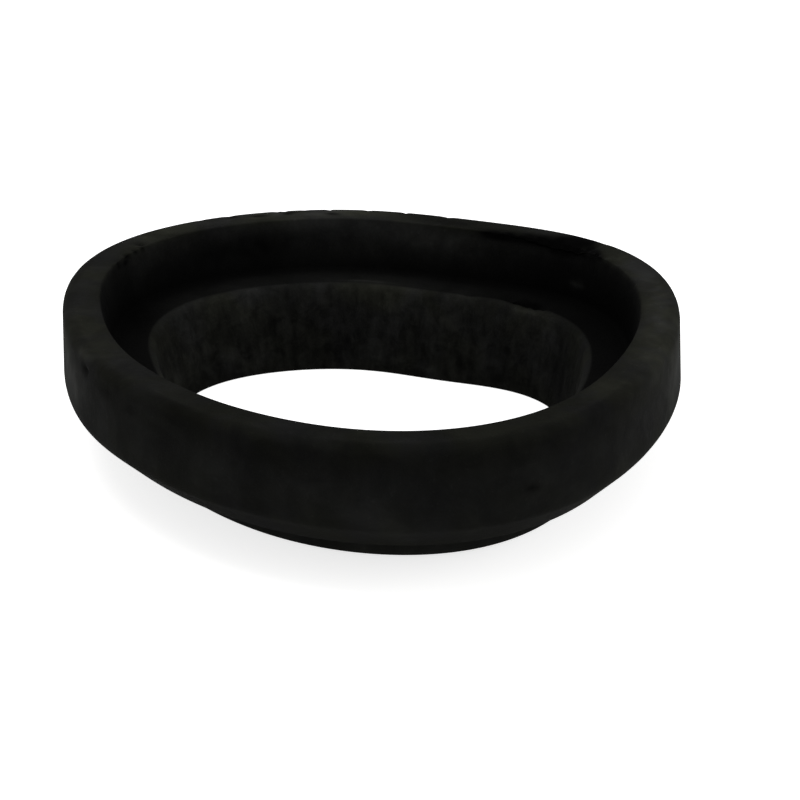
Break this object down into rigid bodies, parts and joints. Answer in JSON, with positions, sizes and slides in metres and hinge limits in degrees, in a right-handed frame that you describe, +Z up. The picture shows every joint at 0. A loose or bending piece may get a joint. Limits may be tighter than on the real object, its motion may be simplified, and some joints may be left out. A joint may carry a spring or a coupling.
{
  "type": "flush valve gasket",
  "caption": "Black moulded rubber ring that seals a cistern's flush valve to the pan: deep counterbore, flat ledge, narrowing bore, tapered wall and short spigot.",
  "frame": {"origin": "middle of the ring's bounding box at the foot of the spigot", "axes": "+Z up along the ring's axis, out of the open counterbore; the picture looks along +Y and down"},
  "size_m": [0.114, 0.1176, 0.0275],
  "materials": {
    "rubber": "matt moulded black rubber"
  },
  "bodies": {
    "root": {"flush_valve_gasket": "rubber"}
  },
  "joints": []
}
